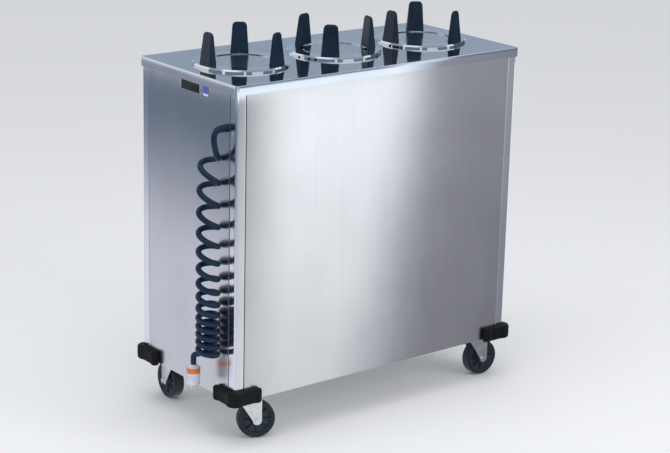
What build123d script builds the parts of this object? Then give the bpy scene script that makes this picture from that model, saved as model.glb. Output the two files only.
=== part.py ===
from build123d import *
import math
import os

# Mobile three-silo heated plate dispenser cart.  Millimetres, +Z up, X along the cart,
# the cord end at -X, the long front face at -Y, origin on the floor under the middle.

# ---------------------------------------------------------------- driving dimensions

# cabinet
deck_length = 942.0
deck_width = 442.0
deck_height = 965.0
deck_skirt = 25.0
deck_corner_radius = 8.0
deck_edge_radius = 3.0
deck_overhang = 4.0
sheet = 1.5
post_leg = 29.0
post_sheet = 2.0
post_corner_radius = 6.0
flange_depth = 14.0
panel_edge_radius = 2.0
pan_sheet = 2.0
pan_gap = 0.5

# silos
silo_count = 3
silo_end_margin = 169.0
deck_hole_radius = 112.0
ring_radius = 127.0
ring_rise = 8.0
ring_roll = 4.0
mouth_radius = 89.0
collar_depth = 20.0
tube_clearance = 1.5
tube_wall = 1.5
tube_floor_gap = 66.0
slot_width = 12.0
slot_margin = 29.5
post_turns = (58.0, 107.0, 58.0)

# guide posts on each silo ring
guides_per_silo = 3
guide_height = 83.0
guide_base_width = 48.0
guide_top_width = 37.0
guide_base_depth = 22.0
guide_top_depth = 7.0
guide_lean = 6.0
guide_shoulder_radius = 12.0
guide_crown_radius = 5.0
guide_edge_radius = 1.5
guide_setback = 2.0

# self-levelling platforms and their springs
platform_clearance = 4.0
platform_rim = 12.0
platform_edge = 4.0
platform_drop = 2.0
carrier_leg_length = 200.0
carrier_leg_width = 16.0
carrier_plate = 3.0
spider_hub_radius = 34.0
arm_width = 9.0
tongue_width = 5.0
tongue_margin = 1.0
stop_gap = 0.5
spring_circle_radius = 104.0
spring_radius = 7.0
eye_wire = 1.6
eye_inner_radius = 4.4
eye_gap = 0.1
anchor_width = 12.0
anchor_drop = 46.0

# heating
heater_radius = 4.0
heater_half_gap = 60.0
heater_end_gap = 87.0
heater_bracket_height = 36.0
heater_bracket_width = 16.0
heater_bracket_inset = 45.0
heater_bracket_count = 3
terminal_box = (38.0, 150.0, 54.0)
junction_box = (50.0, 70.0, 110.0)
box_sheet = 1.2
thermostat_radius = 14.0
thermostat_depth = 18.0
thermostat_edge = 2.0
thermostat_ear = 12.0
conduit_radius = 5.0
conduit_bend = 30.0
conduit_offset = 37.5

# casters
caster_height = 130.0
caster_inset_x = 68.0
caster_inset_y = 61.0
caster_trail = 36.0
caster_angles = {
    "front_left": -22.0,
    "front_right": -4.0,
    "back_left": 86.0,
    "back_right": 40.0,
}
wheel_radius = 51.0
wheel_width = 32.0
wheel_shoulder = 5.0
hub_width = 36.0
hub_radius = 16.0
hub_edge = 2.0
web_width = 16.0
rim_inner_radius = 38.0
rim_draft = 3.0
axle_radius = 5.0
axle_nut_radius = 8.0
running_clearance = 0.06
fork_gap = 1.0
fork_sheet = 3.0
fork_boss_radius = 12.0
caster_plate = (96.0, 70.0, 3.0)
plate_corner_radius = 8.0
plate_hole_spacing = (76.0, 50.0)
race_radius = 27.0
race_depth = 9.0
race_gap = 1.0
race_edge = 3.0
crown_margin = 3.0
kingpin_radius = 6.0
kingpin_head_radius = 9.0
kingpin_head = 1.2
kingpin_head_gap = 0.5
channel_width = 100.0
channel_height = 25.0
channel_sheet = 3.0
channel_end_gap = 6.0
bolt_radius = 4.0
bolt_hole_gap = 0.25
bolt_head_radius = 7.0
bolt_head_height = 5.0

# corner bumpers
bumper_bottom = 122.0
bumper_height = 39.0
bumper_leg = 66.0
bumper_thickness = 16.0
bumper_corner_radius = 24.0
bumper_bulb_radius = 13.0
bumper_swell = 4.0
bumper_waist_radius = 8.0
bumper_edge = 3.0

# screws in the end faces
screw_radius = 3.5
screw_head = 1.5
screw_inset = 20.0
screw_drops = (125.0, 215.0)

# mains lead: a curly cord that hangs on the cord end, from its gland to its plug
cord_diameter = 15.0
cord_sides = 8
gland_inset = 42.0
gland_drop = 113.0
gland_radius = 11.0
gland_length = 4.0
gland_edge = 1.5
gland_nut_radius = 9.0
gland_nut_depth = 8.0
lead_bend = 15.0
coil_wall_gap = 36.0
coil_inset = 70.0
coil_lead_drop = 75.0
coil_radius = 25.0
coil_turns = 14.25
coil_start_angle = -20.0
open_pitch = 67.0
closed_pitch = 21.0
pitch_drop = 4.6
coil_neck = 0.1
coil_lean = 4.0
neck_turns = 1.3
tail_drop = 20.0
tail_forward = 28.0
tail_aside = 15.0
plug_radius = 18.0
plug_taper = 1.0
plug_neck_radius = 11.0
plug_cap = 8.0
plug_band_height = 14.0
plug_band_depth = 2.0
plug_length = 54.0
prong_length = 15.0
prong_width = 6.5
prong_thickness = 1.6
prong_spacing = 12.7
earth_pin_radius = 2.4
earth_pin_offset = 11.5

# how closely touching edges are told apart, and how the cord's own gap is measured
fit_tolerance = 0.01
sample_count = 1500
sample_stride = 3
sample_skip = 2.5

# ---------------------------------------------------------------- derived sizes

body_length = deck_length - 2 * deck_overhang
body_width = deck_width - 2 * deck_overhang
half_length = body_length / 2
half_width = body_width / 2
body_bottom = caster_height - sheet
body_top = deck_height - sheet
body_height = body_top - body_bottom
pan_top = caster_height + pan_sheet

silo_pitch = (deck_length - 2 * silo_end_margin) / (silo_count - 1)
silo_centres = [(i - (silo_count - 1) / 2) * silo_pitch for i in range(silo_count)]
ring_top = deck_height + ring_rise
ring_under = ring_top - sheet
tube_inner = mouth_radius + sheet + tube_clearance
tube_outer = tube_inner + tube_wall
platform_top = ring_top - platform_drop
platform_radius = mouth_radius - platform_clearance
arm_top = platform_top - carrier_leg_length
arm_bottom = arm_top - carrier_plate
tube_bottom = pan_top + tube_floor_gap
slot_top = arm_top + stop_gap
slot_bottom = tube_bottom + slot_margin
platform_travel = arm_bottom - slot_bottom - stop_gap
tongue_end = spring_circle_radius + spring_radius - tongue_margin
anchor_top = ring_under - anchor_drop + carrier_plate
anchor_bottom = ring_under - anchor_drop

gland_y = -half_width + gland_inset
gland_height = deck_height - gland_drop
coil_x = -half_length - coil_wall_gap
coil_y = -half_width + coil_inset
coil_top = gland_height - coil_lead_drop

os.makedirs("parts", exist_ok=True)


def save(builder, label):
    builder.part.label = label
    export_step(builder.part, f"parts/{label}.step")


def outward(angle):
    """Unit vector in the floor plane at this angle from +X."""
    return Vector(math.cos(math.radians(angle)), math.sin(math.radians(angle)), 0)


# ---------------------------------------------------------------- cabinet

with BuildPart() as deck:
    with BuildSketch(Plane.XY.offset(deck_height - deck_skirt)):
        RectangleRounded(deck_length, deck_width, deck_corner_radius)
    extrude(amount=deck_skirt)
    fillet(deck.faces().sort_by(Axis.Z)[-1].edges(), radius=deck_edge_radius)
    offset(amount=-sheet, openings=deck.faces().sort_by(Axis.Z)[0])
    with BuildSketch(Plane.XY.offset(deck_height - 2 * sheet)):
        with Locations(*[(x, 0) for x in silo_centres]):
            Circle(deck_hole_radius)
    extrude(amount=3 * sheet, mode=Mode.SUBTRACT)
save(deck, "deck")


def make_panel(face_centre, outward_dir, width):
    """A tray-shaped panel: its face outwards, its four flanges turned in."""
    face = Plane(origin=face_centre, x_dir=Vector(0, 0, 1).cross(outward_dir), z_dir=outward_dir)
    with BuildPart() as panel:
        with BuildSketch(face):
            Rectangle(width, body_height)
        extrude(amount=-flange_depth)
        outer = panel.faces().sort_by(Axis(face_centre, outward_dir))[-1]
        fillet(outer.edges().filter_by(Axis.Z), radius=panel_edge_radius)
        inner = panel.faces().sort_by(Axis(face_centre, outward_dir))[0]
        offset(amount=-sheet, openings=inner)
    return panel


middle_height = (body_bottom + body_top) / 2
long_panel = body_length - 2 * post_leg
end_panel = body_width - 2 * post_leg

front_panel = make_panel(Vector(0, -half_width, middle_height), Vector(0, -1, 0), long_panel)
save(front_panel, "front_panel")
back_panel = make_panel(Vector(0, half_width, middle_height), Vector(0, 1, 0), long_panel)
save(back_panel, "back_panel")
plain_end_panel = make_panel(Vector(half_length, 0, middle_height), Vector(1, 0, 0), end_panel)
save(plain_end_panel, "plain_end_panel")

cord_end_panel = make_panel(Vector(-half_length, 0, middle_height), Vector(-1, 0, 0), end_panel)
with BuildPart() as cord_end_panel_drilled:
    add(cord_end_panel.part)
    with BuildSketch(Plane(origin=(-half_length, gland_y, gland_height), z_dir=(1, 0, 0))):
        Circle(gland_nut_radius)
    extrude(amount=sheet, mode=Mode.SUBTRACT)
save(cord_end_panel_drilled, "cord_end_panel")

corners = {
    "front_left": (-1, -1),
    "front_right": (1, -1),
    "back_left": (-1, 1),
    "back_right": (1, 1),
}

for corner, (sx, sy) in corners.items():
    mid = post_sheet / 2
    outer_x = sx * (half_length - mid)
    outer_y = sy * (half_width - mid)
    seam_x = sx * (half_length - post_leg + mid)
    seam_y = sy * (half_width - post_leg + mid)
    turned_x = sx * (half_length - flange_depth)
    turned_y = sy * (half_width - flange_depth)
    with BuildPart() as corner_post:
        with BuildSketch(Plane.XY.offset(body_bottom)):
            with BuildLine():
                FilletPolyline(
                    (seam_x, turned_y),
                    (seam_x, outer_y),
                    (outer_x, outer_y),
                    (outer_x, seam_y),
                    (turned_x, seam_y),
                    radius=[panel_edge_radius, post_corner_radius - mid, panel_edge_radius],
                )
            trace(line_width=post_sheet)
        extrude(amount=body_height)
    save(corner_post, f"corner_post_{corner}")

caster_places = {
    corner: (sx * (half_length - caster_inset_x), sy * (half_width - caster_inset_y))
    for corner, (sx, sy) in corners.items()
}


def bolt_places(*chosen):
    """Centres of the bolts that hold the casters at these corners."""
    half_x = plate_hole_spacing[0] / 2
    half_y = plate_hole_spacing[1] / 2
    around = [(-half_x, -half_y), (half_x, -half_y), (-half_x, half_y), (half_x, half_y)]
    return [
        (caster_places[corner][0] + dx, caster_places[corner][1] + dy)
        for corner in chosen
        for dx, dy in around
    ]


# the pan stands on the bottom flanges of all four panels
with BuildPart() as base_pan:
    with BuildSketch(Plane.XY.offset(caster_height)):
        Rectangle(long_panel - 2 * (sheet + pan_gap), body_width - 2 * (sheet + pan_gap))
        Rectangle(body_length - 2 * (sheet + pan_gap), end_panel - 2 * (sheet + pan_gap))
        with Locations(*bolt_places(*corners)):
            Circle(bolt_radius + bolt_hole_gap, mode=Mode.SUBTRACT)
    extrude(amount=pan_sheet)
save(base_pan, "base_pan")

channel_length = end_panel - 2 * channel_end_gap
channel_ends = {
    "cord_end": ("front_left", "back_left"),
    "plain_end": ("front_right", "back_right"),
}
for end, held in channel_ends.items():
    channel_x = caster_places[held[0]][0]
    inside_width = channel_width - 2 * channel_sheet
    inside_height = channel_height - channel_sheet
    with BuildPart() as caster_channel:
        with BuildSketch(Plane((channel_x, 0, pan_top), x_dir=(1, 0, 0), z_dir=(0, 1, 0))):
            with Locations((0, -channel_height / 2)):
                Rectangle(channel_width, channel_height)
            with Locations((0, -channel_height / 2 - channel_sheet / 2)):
                Rectangle(inside_width, inside_height, mode=Mode.SUBTRACT)
        extrude(amount=channel_length / 2, both=True)
        with BuildSketch(Plane.XY.offset(pan_top)):
            with Locations(*bolt_places(*held)):
                Circle(bolt_radius + bolt_hole_gap)
        extrude(amount=channel_sheet, mode=Mode.SUBTRACT)
    save(caster_channel, f"caster_channel_{end}")

# ---------------------------------------------------------------- silos


def radial_plane(centre_x, angle, radius, height):
    """Plane facing outwards from a silo's axis: local x round the silo, local y up."""
    out = outward(angle)
    return Plane(
        origin=Vector(centre_x, 0, height) + out * radius,
        x_dir=Vector(0, 0, 1).cross(out),
        z_dir=out,
    )


def spring_angles(turn):
    """The three springs hang between the three guide posts."""
    return [turn + (i + 0.5) * 360 / guides_per_silo for i in range(guides_per_silo)]


# one moulded guide post at angle 0: its plate side leans out and its back leans in
with BuildPart() as guide_form:
    with BuildSketch(radial_plane(0, 0, mouth_radius + guide_setback, 0)) as guide_face:
        with BuildLine():
            Polyline(
                (-guide_base_width / 2, 0),
                (guide_base_width / 2, 0),
                (guide_top_width / 2, guide_height),
                (-guide_top_width / 2, guide_height),
                close=True,
            )
        make_face()
        fillet(guide_face.vertices().group_by(Axis.Y)[-1], radius=guide_shoulder_radius)
    extrude(amount=guide_base_depth)
    with BuildSketch(Plane.XZ) as guide_side:
        with BuildLine():
            Polyline(
                (mouth_radius + guide_setback, 0),
                (mouth_radius + guide_setback + guide_base_depth, 0),
                (mouth_radius + guide_setback + guide_lean + guide_top_depth, guide_height),
                (mouth_radius + guide_setback + guide_lean, guide_height),
                close=True,
            )
        make_face()
        fillet(guide_side.vertices().sort_by(Axis.Y)[-2:].sort_by(Axis.X)[-1], radius=guide_crown_radius)
    extrude(amount=guide_base_width, both=True, mode=Mode.INTERSECT)
    standing = guide_form.faces().sort_by(Axis.Z)[0].edges()
    fillet(guide_form.edges() - standing, radius=guide_edge_radius)

for number, (centre, turn) in enumerate(zip(silo_centres, post_turns), start=1):
    hangers = spring_angles(turn)

    # polished ring: turned-down outer edge on the deck, short collar into the silo, spring anchors
    with BuildPart() as ring:
        with BuildSketch(Plane((centre, 0, 0), x_dir=(1, 0, 0), z_dir=(0, -1, 0))):
            with BuildLine():
                Polyline(
                    (mouth_radius, ring_top - collar_depth),
                    (mouth_radius, ring_top),
                    (ring_radius - ring_roll, ring_top),
                    (ring_radius, ring_top - ring_roll),
                    (ring_radius, deck_height),
                    (ring_radius - sheet, deck_height),
                    (ring_radius - sheet, ring_under - ring_roll),
                    (ring_radius - sheet - ring_roll, ring_under),
                    (mouth_radius + sheet, ring_under),
                    (mouth_radius + sheet, ring_top - collar_depth),
                    close=True,
                )
            make_face()
        revolve(axis=Axis((centre, 0, 0), (0, 0, 1)))
        for angle in hangers:
            with BuildSketch(radial_plane(centre, angle, tube_outer + tube_clearance, anchor_bottom)):
                Rectangle(anchor_width, anchor_drop, align=(Align.CENTER, Align.MIN))
            extrude(amount=tube_wall)
            with BuildSketch(radial_plane(centre, angle, tube_outer + tube_clearance, anchor_bottom)):
                Rectangle(tongue_width, carrier_plate, align=(Align.CENTER, Align.MIN))
            extrude(amount=tongue_end - tube_outer - tube_clearance)
    save(ring, f"silo_{number}_ring")

    # slotted tube: the platform's arms run down its three slots
    with BuildPart() as tube:
        with BuildSketch(Plane((centre, 0, tube_bottom))):
            Circle(tube_outer)
            Circle(tube_inner, mode=Mode.SUBTRACT)
        extrude(amount=ring_under - tube_bottom)
        for angle in hangers:
            with BuildSketch(radial_plane(centre, angle, tube_inner - tube_wall, slot_bottom)):
                Rectangle(slot_width, slot_top - slot_bottom, align=(Align.CENTER, Align.MIN))
            extrude(amount=3 * tube_wall, mode=Mode.SUBTRACT)
    save(tube, f"silo_{number}_tube")

    # three plastic guide posts
    with BuildPart() as guides:
        for i in range(guides_per_silo):
            with Locations(Location((centre, 0, ring_top), (0, 0, turn + i * 360 / guides_per_silo))):
                add(guide_form.part)
    save(guides, f"silo_{number}_guide_posts")

    # sprung platform: rimmed plate, three legs, spider with an arm through each slot
    with BuildPart() as platform:
        with BuildSketch(Plane((centre, 0, platform_top - platform_rim))):
            Circle(platform_radius)
        extrude(amount=platform_rim)
        chamfer(platform.edges().sort_by(Axis.Z)[-1], length=platform_edge)
        offset(amount=-sheet, openings=platform.faces().sort_by(Axis.Z)[0])
        with BuildSketch(Plane((centre, 0, arm_bottom))):
            Circle(spider_hub_radius)
        extrude(amount=carrier_plate)
        for angle in hangers:
            leg_radius = platform_radius - platform_edge - carrier_plate
            arm_start = radial_plane(centre, angle, 0, arm_bottom)
            with BuildSketch(radial_plane(centre, angle, leg_radius - carrier_plate, arm_bottom)):
                Rectangle(
                    carrier_leg_width,
                    carrier_leg_length + carrier_plate - sheet / 2,
                    align=(Align.CENTER, Align.MIN),
                )
            extrude(amount=carrier_plate)
            with BuildSketch(arm_start):
                Rectangle(arm_width, carrier_plate, align=(Align.CENTER, Align.MIN))
            extrude(amount=tube_outer + tube_clearance)
            with BuildSketch(arm_start):
                Rectangle(tongue_width, carrier_plate, align=(Align.CENTER, Align.MIN))
            extrude(amount=tongue_end)
    save(platform, f"silo_{number}_platform")

    # extension springs: close-wound bodies hooked between ring and platform arms
    corner_reach = math.sqrt(eye_inner_radius**2 - (tongue_width / 2) ** 2)
    upper_eye = anchor_top + eye_gap - corner_reach
    lower_eye = arm_bottom - eye_gap + corner_reach
    eye_outer_radius = eye_inner_radius + eye_wire
    wound_length = upper_eye - lower_eye - 2 * eye_inner_radius - eye_wire
    with BuildPart() as springs:
        for angle in hangers:
            place = Vector(centre, 0, 0) + outward(angle) * spring_circle_radius
            with Locations((place.X, place.Y, (upper_eye + lower_eye) / 2)):
                Cylinder(spring_radius, wound_length)
            for eye_height in (upper_eye, lower_eye):
                with BuildSketch(radial_plane(centre, angle, spring_circle_radius, eye_height)):
                    Circle(eye_outer_radius)
                    Circle(eye_inner_radius, mode=Mode.SUBTRACT)
                extrude(amount=eye_wire / 2, both=True)
    save(springs, f"silo_{number}_springs")

# ---------------------------------------------------------------- heating

heater_height = pan_top + heater_bracket_height + heater_radius
terminal_x = -half_length + caster_inset_x + channel_width / 2 + pan_gap + terminal_box[0] / 2
heater_start = terminal_x + terminal_box[0] / 2
heater_end = half_length - heater_end_gap
hairpin_end = heater_end - heater_half_gap

with BuildPart() as heater_element:
    with BuildLine(Plane.XY.offset(heater_height)) as hairpin:
        Line((heater_start, -heater_half_gap), (hairpin_end, -heater_half_gap))
        ThreePointArc(
            (hairpin_end, -heater_half_gap),
            (heater_end, 0),
            (hairpin_end, heater_half_gap),
        )
        Line((hairpin_end, heater_half_gap), (heater_start, heater_half_gap))
    with BuildSketch(Plane((heater_start, -heater_half_gap, heater_height), z_dir=(1, 0, 0))):
        Circle(heater_radius)
    sweep()
save(heater_element, "heater_element")

bracket_reach = 2 * (heater_half_gap + 2 * heater_radius)
first_bracket = heater_start + heater_bracket_inset
bracket_pitch = (hairpin_end - heater_bracket_inset - first_bracket) / (heater_bracket_count - 1)
with BuildPart() as heater_brackets:
    for i in range(heater_bracket_count):
        bracket_x = first_bracket + i * bracket_pitch
        with BuildSketch(Plane((bracket_x, 0, pan_top), x_dir=(0, 1, 0), z_dir=(1, 0, 0))):
            Rectangle(bracket_reach, heater_bracket_height, align=(Align.CENTER, Align.MIN))
            Rectangle(
                bracket_reach - 2 * pan_sheet,
                heater_bracket_height - pan_sheet,
                align=(Align.CENTER, Align.MIN),
                mode=Mode.SUBTRACT,
            )
        extrude(amount=heater_bracket_width / 2, both=True)
save(heater_brackets, "heater_brackets")

with BuildPart() as terminal_cover:
    with BuildSketch(Plane((terminal_x, 0, pan_top))):
        Rectangle(terminal_box[0], terminal_box[1])
    extrude(amount=terminal_box[2])
    offset(amount=-box_sheet, openings=terminal_cover.faces().sort_by(Axis.Z)[0])
save(terminal_cover, "heater_terminal_box")

junction_y = -half_width + post_leg + sheet + pan_gap + junction_box[1] / 2
with BuildPart() as junction:
    with BuildSketch(Plane((-half_length + sheet, junction_y, gland_height), z_dir=(1, 0, 0))):
        Rectangle(junction_box[2], junction_box[1])
    extrude(amount=junction_box[0])
    offset(amount=-box_sheet, openings=junction.faces().sort_by(Axis.X)[0])
save(junction, "junction_box")

thermostat_x = -half_length + sheet + junction_box[0]
with BuildPart() as thermostat:
    with BuildSketch(Plane((thermostat_x, junction_y, gland_height), z_dir=(1, 0, 0))):
        Circle(thermostat_radius)
    extrude(amount=thermostat_depth)
    chamfer(thermostat.faces().sort_by(Axis.X)[-1].edges(), length=thermostat_edge)
    with BuildSketch(Plane((thermostat_x, junction_y, gland_height), z_dir=(1, 0, 0))):
        Rectangle(2 * (thermostat_radius + thermostat_ear), thermostat_radius)
    extrude(amount=sheet)
save(thermostat, "thermostat")

conduit_x = thermostat_x - junction_box[0] / 2
conduit_entry = terminal_x - terminal_box[0] / 2
with BuildPart() as conduit:
    with BuildLine() as conduit_path:
        FilletPolyline(
            (conduit_x, junction_y, gland_height - junction_box[2] / 2),
            (conduit_x, junction_y, heater_height),
            (conduit_x, -conduit_offset, heater_height),
            (conduit_entry, -conduit_offset, heater_height),
            radius=conduit_bend,
        )
    with BuildSketch(
        Plane((conduit_x, junction_y, gland_height - junction_box[2] / 2), z_dir=(0, 0, -1))
    ):
        Circle(conduit_radius)
    sweep(path=conduit_path.line)
save(conduit, "wiring_conduit")

# ---------------------------------------------------------------- casters

plate_under = caster_height - caster_plate[2]
race_under = plate_under - race_depth
crown_top = race_under - race_gap
crown_under = crown_top - fork_sheet
head_top = caster_height - kingpin_head_gap
head_seat = head_top - kingpin_head - kingpin_head_gap
fork_inner = hub_width / 2 + fork_gap
fork_outer = fork_inner + fork_sheet

for corner, (x, y) in caster_places.items():
    # the mounting plate stays square to the cart
    with BuildPart() as plate:
        with BuildSketch(Plane((x, y, plate_under))):
            RectangleRounded(caster_plate[0], caster_plate[1], plate_corner_radius)
        extrude(amount=caster_plate[2])
        with BuildSketch(Plane((x, y, race_under))):
            Circle(race_radius)
        extrude(amount=race_depth)
        chamfer(plate.faces().sort_by(Axis.Z)[0].edges(), length=race_edge)
        with BuildSketch(Plane((x, y, race_under))):
            Circle(kingpin_radius + running_clearance)
        extrude(amount=caster_height - race_under, mode=Mode.SUBTRACT)
        with BuildSketch(Plane((x, y, head_seat))):
            Circle(kingpin_head_radius + kingpin_head_gap)
        extrude(amount=caster_height - head_seat, mode=Mode.SUBTRACT)
        with BuildSketch(Plane.XY.offset(plate_under)):
            with Locations(*bolt_places(corner)):
                Circle(bolt_radius + bolt_hole_gap)
        extrude(amount=caster_plate[2], mode=Mode.SUBTRACT)
    save(plate, f"caster_plate_{corner}")

    # everything below the plate swivels: local x runs from the kingpin to the axle
    trail = outward(caster_angles[corner])
    axle_dir = Vector(0, 0, 1).cross(trail)
    wheel_centre = Vector(x, y, wheel_radius) + trail * caster_trail
    side = Plane(origin=(x, y, 0), x_dir=trail, z_dir=-axle_dir)
    crown_back = caster_trail + fork_boss_radius

    with BuildPart() as fork:
        with BuildSketch(Plane(origin=(x, y, crown_under), x_dir=trail, z_dir=(0, 0, 1))):
            Circle(race_radius + crown_margin)
            Rectangle(crown_back, 2 * fork_outer, align=(Align.MIN, Align.CENTER))
        extrude(amount=fork_sheet)
        for direction in (-1, 1):
            with BuildSketch(side.offset(direction * fork_inner)) as leg:
                with BuildLine():
                    Polyline(
                        (-fork_boss_radius, crown_top),
                        (-fork_boss_radius, crown_under - 2 * fork_sheet),
                        (caster_trail - fork_boss_radius, wheel_radius),
                        (caster_trail + fork_boss_radius, wheel_radius),
                        (crown_back, crown_top),
                        close=True,
                    )
                make_face()
                with Locations((caster_trail, wheel_radius)):
                    Circle(fork_boss_radius)
                    Circle(axle_radius + running_clearance, mode=Mode.SUBTRACT)
            extrude(amount=direction * fork_sheet)
        with BuildSketch(Plane((x, y, crown_top))):
            Circle(kingpin_radius)
        extrude(amount=head_top - crown_top)
        with BuildSketch(Plane((x, y, head_top - kingpin_head))):
            Circle(kingpin_head_radius)
        extrude(amount=kingpin_head)
    save(fork, f"caster_fork_{corner}")

    with BuildPart() as axle:
        with BuildSketch(Plane(origin=wheel_centre, x_dir=trail, z_dir=axle_dir)):
            Circle(axle_radius)
        extrude(amount=fork_outer, both=True)
        for direction in (-1, 1):
            end_plane = Plane(
                origin=wheel_centre + axle_dir * (direction * fork_outer),
                x_dir=trail,
                z_dir=axle_dir * direction,
            )
            with BuildSketch(end_plane):
                RegularPolygon(axle_nut_radius, 6)
            extrude(amount=bolt_head_height)
    save(axle, f"caster_axle_{corner}")

    with BuildPart() as wheel:
        with BuildSketch(Plane(origin=wheel_centre, x_dir=axle_dir, z_dir=trail)):
            with BuildLine():
                tread = wheel_width / 2
                bore = axle_radius + running_clearance
                Polyline(
                    (0, bore),
                    (hub_width / 2, bore),
                    (hub_width / 2, hub_radius - hub_edge),
                    (web_width / 2, hub_radius),
                    (web_width / 2, rim_inner_radius),
                    (tread, rim_inner_radius + rim_draft),
                    (tread, wheel_radius - wheel_shoulder),
                    (tread - wheel_shoulder, wheel_radius),
                    (0, wheel_radius),
                )
                mirror(about=Plane.YZ)
            make_face()
        revolve(axis=Axis(wheel_centre, axle_dir))
    save(wheel, f"caster_wheel_{corner}")

# bolts through plate, pan and channel
with BuildPart() as caster_bolts:
    bolt_run = pan_top + channel_sheet - plate_under
    with BuildSketch(Plane.XY.offset(plate_under - bolt_head_height)):
        with Locations(*bolt_places(*corners)):
            RegularPolygon(bolt_head_radius, 6)
    extrude(amount=bolt_head_height)
    with BuildSketch(Plane.XY.offset(plate_under)):
        with Locations(*bolt_places(*corners)):
            Circle(bolt_radius)
    extrude(amount=bolt_run)
    with BuildSketch(Plane.XY.offset(plate_under + bolt_run)):
        with Locations(*bolt_places(*corners)):
            RegularPolygon(bolt_head_radius, 6)
    extrude(amount=bolt_head_height)
save(caster_bolts, "caster_bolts")

# ---------------------------------------------------------------- bumpers and screws

for corner, (sx, sy) in corners.items():
    corner_x = sx * half_length
    corner_y = sy * half_width
    corner_out = bumper_thickness + bumper_swell - bumper_corner_radius
    bulb_out = bumper_thickness + bumper_swell - bumper_bulb_radius
    with BuildPart() as bumper:
        with BuildSketch(Plane.XY.offset(bumper_bottom)) as bumper_outline:
            with Locations((corner_x + sx * corner_out, corner_y + sy * corner_out)):
                Circle(bumper_corner_radius)
            with Locations((corner_x - sx * bumper_leg / 2, corner_y)):
                Rectangle(bumper_leg, 2 * bumper_thickness)
            with Locations((corner_x, corner_y - sy * bumper_leg / 2)):
                Rectangle(2 * bumper_thickness, bumper_leg)
            with Locations(
                (corner_x - sx * bumper_leg, corner_y + sy * bulb_out),
                (corner_x + sx * bulb_out, corner_y - sy * bumper_leg),
            ):
                Circle(bumper_bulb_radius)
            Rectangle(body_length, body_width, mode=Mode.SUBTRACT)
            waists = bumper_outline.vertices().filter_by(
                lambda v: math.isclose(abs(v.X), half_length + bumper_thickness, abs_tol=fit_tolerance)
                or math.isclose(abs(v.Y), half_width + bumper_thickness, abs_tol=fit_tolerance)
            )
            fillet(waists, radius=bumper_waist_radius)
        extrude(amount=bumper_height)
        rims = bumper.faces().filter_by(Plane.XY).edges().filter_by(
            lambda e: abs(e.center().X) > half_length + fit_tolerance
            or abs(e.center().Y) > half_width + fit_tolerance
        )
        chamfer(rims, length=bumper_edge)
    save(bumper, f"corner_bumper_{corner}")

with BuildPart() as post_screws:
    for drop in screw_drops:
        screw_height = deck_height - drop
        with BuildSketch(Plane((-half_length, screw_inset - half_width, screw_height), z_dir=(-1, 0, 0))):
            Circle(screw_radius)
        extrude(amount=screw_head)
save(post_screws, "post_screws")

# ---------------------------------------------------------------- curly mains lead

with BuildPart() as strain_relief:
    wall_plane = Plane((-half_length, gland_y, gland_height), z_dir=(-1, 0, 0))
    with BuildSketch(wall_plane):
        Circle(gland_radius)
    extrude(amount=gland_length)
    chamfer(strain_relief.faces().sort_by(Axis.X)[0].edges(), length=gland_edge)
    with BuildSketch(wall_plane):
        Circle(gland_nut_radius)
    extrude(amount=-gland_nut_depth)
save(strain_relief, "strain_relief")


def coil_drop(turns):
    """How far the coil has come down: each turn carries the weight below it."""
    stretched = min(turns, (open_pitch - closed_pitch) / pitch_drop)
    return open_pitch * stretched - pitch_drop * stretched**2 / 2 + closed_pitch * (turns - stretched)


def coil_point(turns):
    """Centre of the cord after this many turns, counted from the top."""
    settling = math.exp(-turns / neck_turns)
    radius = coil_radius * (1 - coil_neck * settling)
    around = outward(coil_start_angle + 360 * turns)
    return Vector(coil_x + coil_lean * settling, coil_y, coil_top - coil_drop(turns)) + around * radius


def coil_tangent(turns):
    step = 1e-4
    low = max(turns - step, 0)
    return (coil_point(low + 2 * step) - coil_point(low)).normalized()


def biarc(start, start_dir, end, end_dir):
    """Two arcs that join two points smoothly, as (start, direction, end) each."""
    span = end - start
    both = start_dir + end_dir
    turn = 2 * (1 - start_dir.dot(end_dir))
    reach = (math.sqrt(span.dot(both) ** 2 + turn * span.dot(span)) - span.dot(both)) / turn
    first_corner = start + start_dir * reach
    second_corner = end - end_dir * reach
    middle = (first_corner + second_corner) * 0.5
    return [
        (start, start_dir, middle),
        (middle, (second_corner - first_corner).normalized(), end),
    ]


def arc_radius(start, direction, end):
    chord = end - start
    return chord.length / (2 * math.sin(math.radians(direction.get_angle(chord))))


down = Vector(0, 0, -1)
cord_start = Vector(-half_length - gland_length, gland_y, gland_height)
bend_start = cord_start + Vector(-cord_diameter, 0, 0)
bend_end = bend_start + Vector(-lead_bend, 0, -lead_bend)
coil_start = coil_point(0)
coil_end = coil_point(coil_turns)
end_dir = coil_tangent(coil_turns)
level_dir = Vector(end_dir.X, end_dir.Y, 0).normalized()
aside_dir = level_dir.cross(Vector(0, 0, 1)) * -1
tail_end = coil_end + level_dir * tail_forward - aside_dir * tail_aside + down * tail_drop
plug_top = tail_end + down * cord_diameter

quarter_turns = [i / 4 for i in range(int(coil_turns * 4) + 1)]
cord_arcs = [(bend_start, Vector(-1, 0, 0), bend_end)]
cord_arcs += biarc(bend_end, down, coil_start, coil_tangent(0))
for first, second in zip(quarter_turns, quarter_turns[1:]):
    cord_arcs += biarc(coil_point(first), coil_tangent(first), coil_point(second), coil_tangent(second))
cord_arcs += biarc(coil_end, end_dir, tail_end, down)

with BuildPart() as power_cord:
    with BuildLine() as cord_path:
        Line(cord_start, bend_start)
        for start, direction, end in cord_arcs:
            TangentArc(start, end, tangent=direction)
        Line(tail_end, plug_top)
    with BuildSketch(Plane(origin=cord_start, z_dir=(-1, 0, 0))):
        RegularPolygon(cord_diameter / 2, cord_sides)
    sweep(path=cord_path.line, clean=False)
save(power_cord, "power_cord")

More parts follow.
